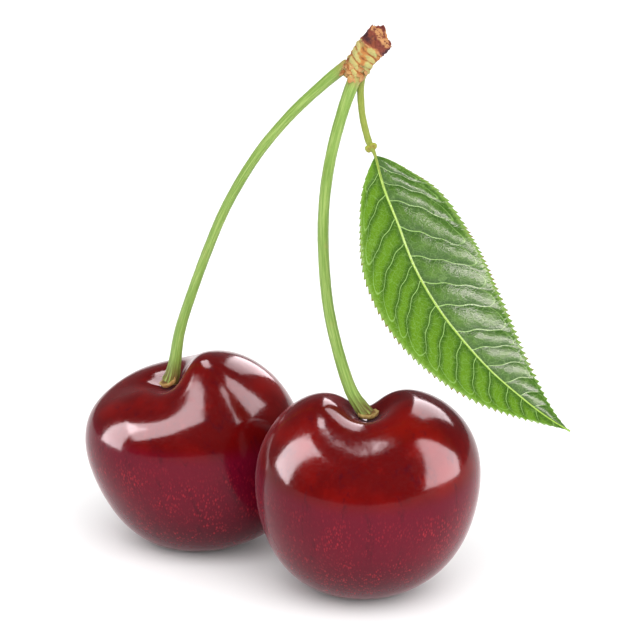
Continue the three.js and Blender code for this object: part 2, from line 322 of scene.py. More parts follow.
class Skin:
    """Builds one procedural material, step by step."""

    def __init__(self, name):
        self.material = bpy.data.materials.new(name)
        self.material.use_nodes = True
        self.tree = self.material.node_tree
        self.shader = self.tree.nodes["Principled BSDF"]
        self.place = self.node("ShaderNodeTexCoord").outputs["Object"]

    def node(self, kind, **settings):
        made = self.tree.nodes.new(kind)
        for key, value in settings.items():
            setattr(made, key, value)
        return made

    def link(self, source, socket):
        if hasattr(source, "is_linked"):
            self.tree.links.new(source, socket)
        else:
            socket.default_value = source

    def value(self, name):
        return self.node("ShaderNodeAttribute", attribute_name=name).outputs["Fac"]

    def math(self, operation, a, b=0.0):
        made = self.node("ShaderNodeMath", operation=operation)
        self.link(a, made.inputs[0])
        self.link(b, made.inputs[1])
        return made.outputs[0]

    def stretched(self, source, scale):
        made = self.node("ShaderNodeMapping")
        self.link(source, made.inputs["Vector"])
        made.inputs["Scale"].default_value = scale
        return made.outputs[0]

    def vector(self, x, y, z=0.0):
        made = self.node("ShaderNodeCombineXYZ")
        for socket, value in zip(made.inputs, (x, y, z)):
            self.link(value, socket)
        return made.outputs[0]

    def noise(self, vector, scale, *, detail=3.0, rough=0.55, bend=0.0):
        made = self.node("ShaderNodeTexNoise")
        self.link(vector, made.inputs["Vector"])
        made.inputs["Scale"].default_value = scale
        made.inputs["Detail"].default_value = detail
        made.inputs["Roughness"].default_value = rough
        made.inputs["Distortion"].default_value = bend
        return made.outputs["Fac"]

    def cells(self, vector, scale, feature="F1"):
        made = self.node("ShaderNodeTexVoronoi", feature=feature)
        self.link(vector, made.inputs["Vector"])
        made.inputs["Scale"].default_value = scale
        return made.outputs["Distance"]

    def band(self, value, start, end, *, least=0.0, most=1.0):
        """Goes smoothly from least to most while the value goes from start to end."""
        made = self.node("ShaderNodeMapRange", interpolation_type="SMOOTHSTEP")
        self.link(value, made.inputs["Value"])
        made.inputs["From Min"].default_value = start
        made.inputs["From Max"].default_value = end
        made.inputs["To Min"].default_value = least
        made.inputs["To Max"].default_value = most
        return made.outputs[0]

    def moved(self, source, shift):
        made = self.node("ShaderNodeVectorMath", operation="ADD")
        self.link(source, made.inputs[0])
        self.link(shift, made.inputs[1])
        return made.outputs[0]

    def mix(self, share, *colors):
        """A mix of two colours. The node has more sockets of these names, hence the numbers."""
        made = self.node("ShaderNodeMix", data_type="RGBA")
        self.link(share, made.inputs["Factor"])
        for source, number in zip(colors, MIX_COLOR_INPUTS):
            self.link((*source, 1.0) if isinstance(source, tuple) else source, made.inputs[number])
        return made.outputs[MIX_COLOR_OUTPUT]

    def bump(self, height, strength, distance):
        made = self.node("ShaderNodeBump")
        made.inputs["Strength"].default_value = strength
        made.inputs["Distance"].default_value = distance
        self.link(height, made.inputs["Height"])
        self.link(made.outputs[0], self.shader.inputs["Normal"])

    def finish(self, color, roughness, **fixed):
        self.link(color, self.shader.inputs["Base Color"])
        self.link(roughness, self.shader.inputs["Roughness"])
        for key, value in fixed.items():
            self.shader.inputs[key.replace("_", " ")].default_value = value
        return self.material


FRUIT_DARK = (0.085, 0.0012, 0.0014)
FRUIT_RED = (0.165, 0.0024, 0.0012)
# Deep purple-red, for darker streaks and for painted shade near the floor
FRUIT_DEEP_AND_SHADE = (0.040, 0.0012, 0.0065)
FRUIT_LOW = (0.105, 0.0014, 0.0125)
FRUIT_DOT = (0.36, 0.014, 0.024)
FRUIT_BLOOM = (1.0, 0.45, 0.52, 1.0)
FRUIT_BUMP_DEPTH = 0.0006

# Below this height the skin is duller and dotted. The level climbs towards the back.
LOW_LEVEL_MM = 16.4
LOW_RISE_MM = 2.2

# Dots: for each layer their number over a metre, their size in a cell and their strength
DOT_LAYERS = ((2100.0, 0.34, 0.7), (3500.0, 0.44, 0.5))


def fruit_skin(name, seed):
    """Deep red, mottled and streaked from the stalk down, with fine pale dots below."""
    skin = Skin(name)
    place = skin.moved(skin.place, (seed * 0.37, seed * 0.11, 0.0))
    down = skin.value("down")
    height_mm = skin.value("height_mm")
    round_x = skin.value("round_x")
    round_y = skin.value("round_y")
    streak_place = skin.vector(round_x, round_y, skin.math("MULTIPLY", down, 0.12))
    streaks = skin.noise(streak_place, 9.0 + seed, detail=5.0, rough=0.65)
    clouds = skin.noise(place, 120.0, rough=0.5)
    color = skin.mix(skin.band(clouds, 0.46, 0.68, most=0.8), FRUIT_DARK, FRUIT_RED)
    color = skin.mix(skin.band(streaks, 0.54, 0.74, most=0.4), color, FRUIT_RED)
    behind = skin.math("MULTIPLY", skin.math("ADD", round_y, 1.0), LOW_RISE_MM)
    level = skin.math("SUBTRACT", height_mm, behind)
    color = skin.mix(skin.band(level, LOW_LEVEL_MM, LOW_LEVEL_MM - 2.4, most=0.85), color, FRUIT_LOW)
    color = skin.mix(skin.band(streaks, 0.45, 0.3, most=0.5), color, FRUIT_DEEP_AND_SHADE)
    # Painted shade: the skin is painted darker towards the floor, from 10 mm above it down
    color = skin.mix(skin.band(height_mm, 10.0, 2.5, most=0.75), color, FRUIT_DEEP_AND_SHADE)
    tall = skin.stretched(place, (1.0, 1.0, 0.5))
    clusters = skin.band(skin.noise(place, 300.0, detail=5.0, rough=0.75), 0.38, 0.62, least=0.08)
    low = skin.band(level, LOW_LEVEL_MM - 0.9, LOW_LEVEL_MM - 5.9, least=0.04)
    dot_share = 0.0
    for scale, size, share in DOT_LAYERS:
        dots = skin.band(skin.cells(tall, scale), size, size * 0.3, most=share)
        dot_share = skin.math("MAXIMUM", dot_share, dots)
    dot_share = skin.math("MULTIPLY", skin.math("MULTIPLY", dot_share, clusters), low)
    color = skin.mix(dot_share, color, FRUIT_DOT)
    waves = skin.noise(place, 260.0, detail=2.0, rough=0.5)
    fine = skin.noise(place, 2600.0, detail=2.0, rough=0.5)
    height = skin.math("ADD", waves, skin.math("MULTIPLY", fine, 0.06))
    height = skin.math("SUBTRACT", height, skin.math("MULTIPLY", dot_share, 0.05))
    skin.bump(height, 0.08, FRUIT_BUMP_DEPTH)
    roughness = skin.band(fine, 0.3, 0.7, least=0.1, most=0.17)
    return skin.finish(color, roughness, IOR=1.27, Sheen_Weight=0.14, Sheen_Roughness=0.35,
                       Sheen_Tint=FRUIT_BLOOM)


STALK_GREEN = (0.175, 0.295, 0.045)
STALK_LIGHT = (0.36, 0.48, 0.135)
STALK_DEEP = (0.11, 0.20, 0.030)
LEAF_STALK_GREEN = (0.205, 0.25, 0.032)
LEAF_STALK_LIGHT = (0.33, 0.37, 0.09)
STALK_GLOW = (0.6, 1.0, 0.3)
STALK_BUMP_DEPTH = 0.00012
COLLAR_TAN = (0.42, 0.26, 0.09)
COLLAR_BROWN = (0.13, 0.055, 0.02)


def stalk_skin(name, seed, green=STALK_GREEN, light=STALK_LIGHT):
    """Light green with fine lengthwise stripes, brown at the foot and tan at the very top."""
    skin = Skin(name)
    along = skin.value("along")
    stripe_place = skin.vector(skin.value("round_x"), skin.value("round_y"),
                               skin.math("MULTIPLY", along, 2.2))
    stripes = skin.noise(stripe_place, 3.2 + seed, detail=5.0, rough=0.7, bend=0.4)
    patches = skin.noise(skin.place, 330.0)
    color = skin.mix(skin.band(stripes, 0.42, 0.66, most=0.8), green, light)
    color = skin.mix(skin.band(stripes, 0.45, 0.3, most=0.55), color, STALK_DEEP)
    color = skin.mix(skin.band(patches, 0.58, 0.75, most=0.35), color, COLLAR_TAN)
    foot = skin.math("MULTIPLY", skin.band(along, 0.09, 0.0), skin.band(stripes, 0.62, 0.4))
    color = skin.mix(foot, color, COLLAR_BROWN)
    top = skin.band(along, 0.955, 1.0, most=0.7)
    color = skin.mix(skin.math("MULTIPLY", top, skin.band(patches, 0.35, 0.6)), color, COLLAR_TAN)
    skin.bump(skin.math("ADD", stripes, skin.math("MULTIPLY", patches, 0.4)), 0.5,
              STALK_BUMP_DEPTH)
    return skin.finish(color, skin.band(stripes, 0.3, 0.7, least=0.38, most=0.55),
                       Subsurface_Weight=0.1, Subsurface_Scale=0.0008,
                       Subsurface_Radius=STALK_GLOW)


# Woody colours, from the hollows to the ridges, and the colour of the patches
COLLAR_COLORS = (COLLAR_BROWN, (0.24, 0.12, 0.03), (0.42, 0.29, 0.10), (0.38, 0.20, 0.06))
SPUR_COLORS = ((0.17, 0.045, 0.012), (0.46, 0.19, 0.05), (0.47, 0.40, 0.14), (0.44, 0.46, 0.17))
BARK_COLORS = ((0.035, 0.008, 0.018), (0.20, 0.042, 0.026), (0.52, 0.25, 0.10), (0.36, 0.10, 0.03))
SCALE_COLORS = ((0.09, 0.022, 0.010), (0.34, 0.11, 0.022), (0.50, 0.27, 0.10), (0.40, 0.16, 0.035))
GLAND_COLORS = ((0.24, 0.21, 0.03), (0.28, 0.31, 0.04), (0.33, 0.40, 0.06), (0.30, 0.34, 0.05))
DEEP_GRAIN = 0.0004
FINE_GRAIN = 0.00025
SMOOTH_GRAIN = 0.00005


def woody_skin(name, colors, scale, depth=DEEP_GRAIN, smoothest=0.6, roughest=0.85):
    """A dry, uneven surface that goes through several colours from its hollows to its ridges."""
    hollow, slope, crest, patch = colors
    skin = Skin(name)
    relief = skin.value("relief")
    grain = skin.noise(skin.place, scale, detail=6.0, rough=0.7, bend=0.6)
    patches = skin.noise(skin.place, scale * 0.35, rough=0.6)
    mixed = skin.math("ADD", skin.math("MULTIPLY", relief, 0.62), skin.math("MULTIPLY", grain, 0.5))
    color = skin.mix(skin.band(mixed, 0.22, 0.45), hollow, slope)
    color = skin.mix(skin.band(mixed, 0.48, 0.62), color, crest)
    color = skin.mix(skin.band(patches, 0.52, 0.66, most=0.75), color, patch)
    skin.bump(skin.math("ADD", grain, skin.math("MULTIPLY", patches, 0.5)), 0.9, depth)
    return skin.finish(color, skin.band(grain, 0.3, 0.7, least=smoothest, most=roughest))


# Blade greens: a lighter one painted on the lit left half and also used for pale patches, and a darker
# one painted on the shaded right half
LEAF_SHADED_GREEN = (0.034, 0.096, 0.005)
LEAF_LIT_AND_PATCH_GREEN = (0.088, 0.195, 0.007)
# Painted shade beside the side veins and along the midrib
LEAF_SHADE = (0.022, 0.068, 0.005)
LEAF_VEIN = (0.27, 0.44, 0.12)
LEAF_RIB = (0.30, 0.46, 0.06)
LEAF_UNDER = (0.20, 0.30, 0.11)
LEAF_TOOTH = (0.22, 0.09, 0.025)
LEAF_RIM = (0.20, 0.32, 0.06)
LEAF_GLOW = (0.4, 1.0, 0.2)
LEAF_BUMP_DEPTH = 0.00003
VEIN_SPACING = 3.3

# The loops that join the side veins, as shares of the way from the midrib to the edge
LOOP_AT = 0.89
LOOP_DIP = 0.15


def leaf_skin(name):
    """Glossy green above and paler below, with pale veins, a fine net and brown tooth tips."""
    skin = Skin(name)
    side = skin.value("side")
    under = skin.value("under")
    edge = skin.value("edge")
    tooth = skin.value("tooth")
    middle = skin.value("middle")
    phase = skin.math("FRACT", skin.math("ADD", skin.value("vein_phase"), 0.5))
    from_vein = skin.math("ABSOLUTE", skin.math("SUBTRACT", phase, 0.5))
    gap = skin.math("MULTIPLY", from_vein, VEIN_SPACING)
    out = skin.math("ABSOLUTE", side)
    near = skin.math("SUBTRACT", 1.0, skin.math("MULTIPLY", from_vein, 2.0))
    dip = skin.math("MULTIPLY", skin.math("POWER", near, 2.0), LOOP_DIP)
    loop_at = skin.math("SUBTRACT", LOOP_AT, dip)
    loop = skin.math("ABSOLUTE", skin.math("SUBTRACT", out, loop_at))
    thin = skin.math("SUBTRACT", 1.25, skin.math("MULTIPLY", out, 0.75))
    vein = skin.band(skin.math("DIVIDE", gap, thin), VEIN_WIDTH, 0.3 * VEIN_WIDTH)
    vein = skin.math("MULTIPLY", vein, skin.band(out, 0.78, 0.73))
    vein = skin.math("MAXIMUM", vein, skin.band(loop, 0.014, 0.004, most=0.5))
    net_place = skin.vector(skin.value("across_mm"), skin.value("along_mm"))
    shift = skin.noise(net_place, 1.1, detail=2.0)
    net_place = skin.moved(net_place, skin.vector(shift, shift))
    patches = skin.noise(net_place, 0.35, rough=0.6)
    net = skin.cells(net_place, 1.25, "DISTANCE_TO_EDGE")
    fine_net = skin.cells(net_place, 3.6, "DISTANCE_TO_EDGE")
    # Painted light and shade: the left half is painted lighter and the right half darker, as the light
    # falls on them
    color = skin.mix(skin.band(side, -0.6, 0.5), LEAF_LIT_AND_PATCH_GREEN, LEAF_SHADED_GREEN)
    color = skin.mix(skin.band(patches, 0.4, 0.7, most=0.45), color, LEAF_LIT_AND_PATCH_GREEN)
    # Painted shade: darker in the hollows beside the side veins and along the midrib
    vein_shade = skin.math("MULTIPLY", skin.band(gap, 1.2, 0.1, most=0.85), skin.band(out, 1.0, 0.7))
    vein_shade = skin.math("MAXIMUM", vein_shade, skin.band(skin.value("midrib_shade"), 0.1, 0.9, most=0.7))
    color = skin.mix(vein_shade, color, LEAF_SHADE)
    color = skin.mix(skin.band(fine_net, 0.07, 0.0, most=0.16), color, LEAF_VEIN)
    color = skin.mix(skin.band(net, 0.05, 0.0, most=0.2), color, LEAF_VEIN)
    color = skin.mix(skin.math("MULTIPLY", vein, 0.95), color, LEAF_VEIN)
    color = skin.mix(skin.band(under, 0.4, 0.6, most=0.75), color, LEAF_UNDER)
    color = skin.mix(skin.band(middle, 0.3, 0.7, most=0.95), color, LEAF_RIB)
    color = skin.mix(skin.band(edge, 0.55, 0.95, most=0.7), color, LEAF_RIM)
    brown = skin.math("MULTIPLY", skin.band(tooth, 0.35, 0.85, most=0.9), skin.band(patches, 0.42, 0.58))
    color = skin.mix(brown, color, LEAF_TOOTH)
    cells = skin.band(fine_net, 0.0, 0.25)
    height = skin.math("ADD", skin.math("MULTIPLY", cells, 0.6), skin.band(net, 0.0, 0.25))
    skin.bump(height, 0.16, LEAF_BUMP_DEPTH)
    roughness = skin.math("ADD", skin.band(patches, 0.3, 0.7, least=0.16, most=0.22),
                          skin.math("MULTIPLY", under, 0.25))
    return skin.finish(color, roughness, Subsurface_Weight=0.08, Subsurface_Scale=0.0005,
                       Subsurface_Radius=LEAF_GLOW)


# Fruits

def fruit_place(fruit, down, around):
    """Places on a leaning fruit, from angles down from its top and round its axis."""
    half_x, half_y, half_z = fruit["half"]
    height = np.cos(down)
    swell = (1 + fruit["egg"] * height + fruit["pear"] * np.cos(3 * down)
             + fruit["square"] * np.cos(4 * down))
    x = half_x * swell * np.sin(down) * np.cos(around)
    y = half_y * swell * np.sin(down) * np.sin(around)
    radius = np.hypot(x, y)
    upper = 1 / (1 + np.exp(-UPPER_SHARPNESS * height))
    turn = around - math.radians(fruit["valley_turn"])
    near_ridge = (radius / fruit["ridge_radius"]) ** 2
    ridge = upper * near_ridge * np.exp(1 - near_ridge)
    hollow = upper * fruit["dip"] * np.exp(-((radius / fruit["dip_radius"]) ** 2))
    valley = fruit["valley"] * np.maximum(-np.sin(turn), 0) ** 2
    from_crease = (np.degrees(around) - fruit["crease_at"] + 180) % 360 - 180
    crease = fruit["crease"] * np.exp(-((from_crease / fruit["crease_spread"]) ** 2))
    shoulder = np.cos(turn) ** 2 * (fruit["lobe"] + fruit["lobe_tip"] * np.cos(turn))
    z = half_z * swell * height - hollow + ridge * (shoulder - valley - crease)
    points = np.stack([x + fruit["skew"] * z, y, z], -1)
    return points @ (turn_matrix("y", fruit["lean"]) @ turn_matrix("x", fruit["nod"])).T


def make_fruit(name, fruit, node, seed):
    """A fruit with its lowest part pressed flat on the ground. Its hollow end faces up."""
    down = np.linspace(0, math.pi, FRUIT_RINGS + 1)[1:-1, None]
    around = np.linspace(0, 2 * math.pi, FRUIT_SEGMENTS, endpoint=False)[None, :]
    down, around = np.broadcast_arrays(down, around)
    rings = fruit_place(fruit, down, around)
    top = fruit_place(fruit, np.float64(0), np.float64(0))
    foot = fruit_place(fruit, np.float64(math.pi), np.float64(0))
    points = skin_points(rings, top, foot)
    points[:, 2] = np.maximum(points[:, 2] - points[:, 2].min() - REST_DEPTH, 0)
    points += np.array([*fruit["centre"], 0]) + MIDDLE_SHIFT
    values = dict(
        down=skin_values(down / math.pi, 0, 1),
        round_x=skin_values(np.cos(around) * np.sin(down), 0, 0),
        round_y=skin_values(np.sin(around) * np.sin(down), 0, 0),
        height_mm=points[:, 2],
    )
    faces = [face[::-1] for face in tube_faces(FRUIT_RINGS - 1, FRUIT_SEGMENTS)]
    return make_piece(name, points, faces, fruit_skin(name + "_skin", seed), node,
                      values)


# Rods

def rod_rings(path, along, reach, angles):
    """Rings of points round a path. along is in millimetres and may vary with the angle."""
    place, tangent, _ = through(path, np.clip(along / path_length(path), 0, 1))
    side = unit(np.cross(BACKWARD, tangent))
    front = unit(np.cross(side, tangent))
    return (place + side * (reach * np.sin(angles))[..., None]
            + front * (reach * np.cos(angles))[..., None] + MIDDLE_SHIFT)


def make_rod(name, path, along, reach, angles, material, node, values):
    rings = rod_rings(path, along, reach, angles)
    points = skin_points(rings)
    ends = {key: skin_values(data, data[0].mean(), data[-1].mean()) for key, data in values.items()}
    return make_piece(name, points, tube_faces(*reach.shape), material, node, ends)


def station_grid(rows, columns):
    """Shares of a rod's length down the rows, and angles round it across the columns."""
    share = np.linspace(0, 1, rows)[:, None]
    angles = np.linspace(0, 2 * math.pi, columns, endpoint=False)[None, :]
    return np.broadcast_arrays(share, angles)


def make_stalk(name, stalk, collar, node, seed):
    """A stalk that widens at both ends and is ribbed, most of all at its foot."""
    share, angles = station_grid(*STALK_GRID)
    length = path_length(stalk["path"])
    along = length * share ** 1.5
    flare = (stalk["foot"] - stalk["middle"]) * np.exp(-along / STALK_FLARE_LENGTH)
    widening = (stalk["top"] - stalk["middle"]) * np.exp((along - length) / STALK_FLARE_LENGTH)
    turned = angles + stalk["turn"] + STALK_TWIST * along
    ribs = 1 + FOOT_RIB_RISE * np.sin(FOOT_RIBS * turned) * np.exp(-along / FOOT_RIB_LENGTH)
    ribs += 0.018 * np.sin(9 * turned + 0.2 * along) + 0.012 * np.sin(17 * turned)
    uneven = wobble(seed, (along, 1.1, 0.008), (along, 2.7, 0.008), (along, 6.1, 0.006))
    reach = (stalk["middle"] + flare + widening) * (ribs + uneven)
    values = dict(along=along / length, round_x=np.cos(angles), round_y=np.sin(angles))
    make_rod(name, stalk["path"], along, reach, angles, stalk_skin(name + "_skin", seed),
             node, values)
    make_collar(name.replace("stalk", "collar"), stalk, collar, seed)


def make_collar(name, stalk, collar, seed):
    """The corky disc at the foot, with a raised, torn rim that lifts on one side."""
    share, angles = station_grid(*COLLAR_GRID)
    down = share * math.pi
    rim = np.exp(-(((share - 0.55) / 0.16) ** 2))
    torn = wobble(seed, (angles, 3, 0.06), (angles, 7, 0.04), (angles, 13, 0.03))
    flap = np.exp(-((turn_from(angles, collar["flap"]) / 0.8) ** 2))
    reach = collar["radius"] * np.sin(down) ** 0.8 * (1 + torn * rim + 0.12 * flap * rim)
    height = -COLLAR_HALF_THICKNESS * np.cos(down) + COLLAR_RIM_RISE * rim
    height += collar["flap_rise"] * flap * rim
    height += 0.05 * rim * np.sin(11 * angles + seed)
    normal = unit(collar["facing"])
    side = unit(np.cross(BACKWARD, normal))
    front = np.cross(normal, side)
    centre = np.array(stalk["path"][0]) + MIDDLE_SHIFT
    rings = (centre + side * (reach * np.cos(angles))[..., None]
             + front * (reach * np.sin(angles))[..., None] + normal * height[..., None])
    points = skin_points(rings)
    relief = skin_values(0.25 + 0.75 * rim, 0.2, 0.2)
    material = woody_skin(name + "_skin", COLLAR_COLORS, scale=1500.0, depth=FINE_GRAIN)
    faces = [face[::-1] for face in tube_faces(*reach.shape)]
    make_piece(name, points, faces, material, None, dict(relief=relief))


def make_spur():
    """The knobbly spur, with ring scars standing out. It narrows where the stalks leave it."""
    share, angles = station_grid(*SPUR_GRID)
    body = SPUR_RADIUS * (1 - SPUR_NARROWING * np.exp(-share / 0.25))
    phase = share * RING_SCARS + 0.3 * np.sin(angles + 0.6) + 0.16 * np.sin(3 * angles + 4 * share)
    scar = np.abs(np.sin(math.pi * phase)) ** 0.6
    lumps = wobble(3, (3 * angles + 5 * share, 1, 0.08), (5 * angles - 9 * share, 1, 0.05),
                   (11 * angles + 23 * share, 1, 0.035), (17 * angles - 41 * share, 1, 0.03),
                   (29 * angles + 67 * share, 1, 0.02))
    scar = scar * (0.65 + 0.35 * np.sin(4 * angles + 9 * share))
    reach = body + SCAR_RISE * (scar - 0.5) + lumps
    reach = reach * (1 - 0.35 * np.clip((share - 0.86) / 0.14, 0, 1))
    material = woody_skin("spur_skin", SPUR_COLORS, scale=1300.0)
    along = share * path_length(SPUR_PATH)
    make_rod("spur_ringed", SPUR_PATH, along, reach, angles, material, "spur",
             dict(relief=scar))


def make_bark():
    """A wall of dark bark round a torn wooden face that slopes to the front, with one spike."""
    share, angles = station_grid(*BARK_GRID)
    lumps = wobble(5, (3 * angles + 1, 1, 0.07), (5 * angles + 6 * share, 1, 0.05),
                   (9 * angles - 13 * share, 1, 0.04), (15 * angles + 31 * share, 1, 0.03),
                   (27 * angles - 47 * share, 1, 0.015))
    inward = np.clip((share - BARK_WALL) / (1 - BARK_WALL), 0, 1)
    middle_rise = (BARK_FRONT_RISE + BARK_BACK_RISE) / 2
    slope = (BARK_FRONT_RISE - BARK_BACK_RISE) / 2 * np.cos(angles) - 0.22 * np.sin(angles)
    crags = wobble(8, (4 * angles, 1, 0.09), (7 * angles + 19 * inward, 1, 0.08),
                   (13 * angles - 29 * inward, 1, 0.07), (25 * angles + 11 * inward, 1, 0.04))
    from_spike = turn_from(angles, BARK_SPIKE_TURN)
    spike = BARK_SPIKE * np.exp(-((from_spike / 0.35) ** 2) - ((inward - 0.15) / 0.25) ** 2)
    top = middle_rise + slope * (1 - inward) + crags * (1 - 0.6 * inward) + spike
    wall = share / BARK_WALL * (middle_rise + slope + crags + spike)
    rise = np.where(inward > 0, top, wall)
    reach = BARK_RADIUS * (1 + lumps) * (1 - 0.97 * inward ** 1.2)
    rim = np.exp(-(((share - BARK_WALL) / 0.07) ** 2))
    foot = np.exp(-((share / 0.09) ** 2))
    relief = 0.1 + 0.3 * np.maximum(np.sin(2 * angles + 1), 0) + 0.3 * rim + 0.45 * foot
    face = 0.35 + 0.75 * np.sin(1.5 * angles + 5 * inward) ** 2 - 0.5 * spike
    relief = np.where(inward > 0.06, face, relief)
    material = woody_skin("bark_skin", BARK_COLORS, scale=1100.0)
    make_rod("bark_torn", BARK_PATH, rise, reach, angles, material, "torn_bark",
             dict(relief=relief))


def make_flake(base, out, down, across, length, width, curl, seed):
    """One dry pointed scale, closed and thin."""
    rows, columns = SCALE_GRID
    sideways, share = np.meshgrid(np.linspace(-1, 1, columns), np.linspace(0, 1, rows))
    half = width / 2 * (1 - share ** 2.2) ** 0.8 + 0.02
    ragged = 0.04 * np.sin(9 * share + seed) * np.abs(sideways)
    rise = curl * share ** 2 - 0.25 * half * sideways ** 2 + 0.03 * np.sin(5 * share + seed)
    shape = (base + down * (length * share)[..., None]
             + across * ((half + ragged) * sideways)[..., None] + out * rise[..., None])
    thickness = out * SCALE_HALF_THICKNESS
    return np.stack([shape + thickness, shape - thickness]), share


def make_bud_scales():
    """Three rows of ragged scales round the spur's lower end, hanging over the stalks' tops."""
    start = np.array(SPUR_PATH[0])
    axis = unit(start - np.array(SPUR_PATH[1]))
    side = unit(np.cross(BACKWARD, axis))
    front = np.cross(axis, side)
    points = []
    faces = []
    relief = []
    for row, (count, rise, spread) in enumerate(SCALE_ROWS):
        for k in range(count):
            angle = 2 * math.pi * (k + 0.4 * row + rng.uniform(-0.2, 0.2)) / count
            out = side * math.cos(angle) + front * math.sin(angle)
            across = np.cross(axis, out)
            base = start - axis * (rise + rng.uniform(-0.1, 0.15)) + out * spread + MIDDLE_SHIFT
            lean = unit(axis + out * rng.uniform(-0.05, 0.1))
            length = rng.uniform(0.55, 0.95)
            width = rng.uniform(0.7, 1.1)
            curl = rng.uniform(-0.2, 0.2)
            seed = rng.uniform(0, 6)
            flake, share = make_flake(base, out, lean, across, length, width, curl, seed)
            first = sum(len(sheet) for sheet in points)
            points.append(flake.reshape(-1, 3))
            relief.extend(np.tile((0.3 + 0.5 * share).ravel(), 2) + rng.uniform(-0.25, 0.25))
            faces.extend(sheet_faces(*SCALE_GRID, first))
    material = woody_skin("scales_skin", SCALE_COLORS, scale=1500.0)
    make_piece("bud_scales_dry", np.vstack(points), faces, material, "bud_scales",
               dict(relief=relief))


# Leaf

def blade_half_width(half, share):
    """The distance from the midrib to the smooth edge, at shares of the midrib's length."""
    widest = half["base"] / (half["base"] + half["tip"])
    rise = (share / widest) ** half["base"]
    fall = (np.maximum(1 - share, 0) / (1 - widest)) ** half["tip"]
    return np.maximum(LEAF_HALF_WIDTH * rise * fall, LEAF_END_HALF_WIDTH)


def saw(share):
    """Height of the toothed edge, from 0 in a notch to 1 at a forward-pointing tip."""
    phase = (share * TEETH_PER_SIDE) % 1.0
    return np.where(phase < TOOTH_TIP, (phase / TOOTH_TIP) ** 1.6, (1 - phase) / (1 - TOOTH_TIP))


def vein_phase(starts, slope, along, reach, width, length):
    """A count along the half blade that is a whole number on each side vein."""
    start = along - slope * reach - VEIN_BOW * width * (reach / width) ** 3
    start = start + 0.12 * np.sin(2.1 * reach + 0.9 * along)
    first_gap = starts[1] - starts[0]
    last_gap = starts[-1] - starts[-2]
    known = [starts[0] - first_gap - 0.5, *starts, starts[-1] + last_gap + 0.5]
    count = [-1 - 0.5 / first_gap, *range(len(starts)), len(starts) + 0.5 / last_gap]
    return np.interp(start / length, known, count)


def make_leaf():
    """A thin blade, folded along its midrib, quilted between its side veins and toothed."""
    rows = TEETH_PER_SIDE * TOOTH_STATIONS + 1
    columns = BLADE_CELLS + 1
    share, across = np.meshgrid(np.linspace(0, 1, rows), np.linspace(-1, 1, columns), indexing="ij")
    place, tangent, length = through(MIDRIB_PATH, share)
    side = -unit(np.cross(tangent, LEAF_FACING))
    facing = unit(np.cross(tangent, side))
    left = across < 0
    smooth = np.where(left, blade_half_width(LEFT_HALF, share), blade_half_width(RIGHT_HALF, share))
    fold = np.radians(np.where(left, LEFT_HALF["fold"], RIGHT_HALF["fold"]))
    at_edge = np.clip((np.abs(across) - EDGE_AT) / (1 - EDGE_AT), 0, 1)
    size = np.minimum(smooth / 3, 1)
    tooth = saw(share) * at_edge
    reach = np.abs(across) * smooth + TOOTH_HEIGHT * size * (tooth - 0.1 * at_edge)
    along = share * length
    left_phase = vein_phase(LEFT_VEIN_STARTS, LEFT_VEIN_SLOPE, along, reach, smooth, length)
    right_phase = vein_phase(RIGHT_VEIN_STARTS, RIGHT_VEIN_SLOPE, along, reach, smooth, length)
    phase = np.where(left, left_phase, right_phase)
    fade = np.clip(1.15 - np.abs(across), 0, 1) * np.clip(smooth / 2, 0, 1)
    quilt = QUILT * np.abs(np.sin(math.pi * phase)) ** 0.7 * np.clip(fade * 2.5, 0, 1)
    quilt *= np.clip(reach / 1.2, 0, 1)
    waves = WAVE_HEIGHT * np.sin(0.42 * along + np.where(left, 0.0, 1.4)) * across ** 2 * size
    bend = np.hypot(across, FOLD_SOFTNESS) - FOLD_SOFTNESS
    droop = np.where(left, 0.0, -RIGHT_DROOP) * across ** 2 * size
    lift = smooth * bend * np.sin(fold) + quilt + waves + droop
    middle = np.exp(-((reach / (0.19 - 0.09 * share)) ** 2))
    lift = lift - MIDRIB_GROOVE * middle
    surface = (place + side * (np.sign(across) * reach * np.cos(fold))[..., None]
               + facing * lift[..., None] + tangent * (TOOTH_FORWARD * size * tooth)[..., None]
               + MIDDLE_SHIFT)
    thickness = BLADE_THICKNESS / 2 * (1 - 0.45 * at_edge)
    low_extra = VEIN_RISE_BELOW * np.abs(np.cos(math.pi * phase)) ** 12 * fade
    low_extra += MIDRIB_RISE_BELOW * middle
    upper = surface + facing * thickness[..., None]
    lower = surface - facing * (thickness + low_extra)[..., None]
    points = np.vstack([upper.reshape(-1, 3), lower.reshape(-1, 3)])
    # Closeness to the midrib, for the painted shade along it
    midrib_shade = np.exp(-((reach / 0.8) ** 2))

    def twice(data):
        return np.tile(np.asarray(data, float).ravel(), 2)

    values = dict(
        side=twice(across), vein_phase=twice(phase), middle=twice(middle),
        midrib_shade=twice(midrib_shade), edge=twice(np.clip((np.abs(across) - 0.8) / 0.2, 0, 1)),
        tooth=twice(tooth * size), across_mm=twice(np.sign(across) * reach),
        along_mm=twice(along), under=np.repeat([0.0, 1.0], along.size),
    )
    return make_piece("leaf_blade", points, sheet_faces(rows, columns), leaf_skin("leaf_skin"),
                      "leaf", values)


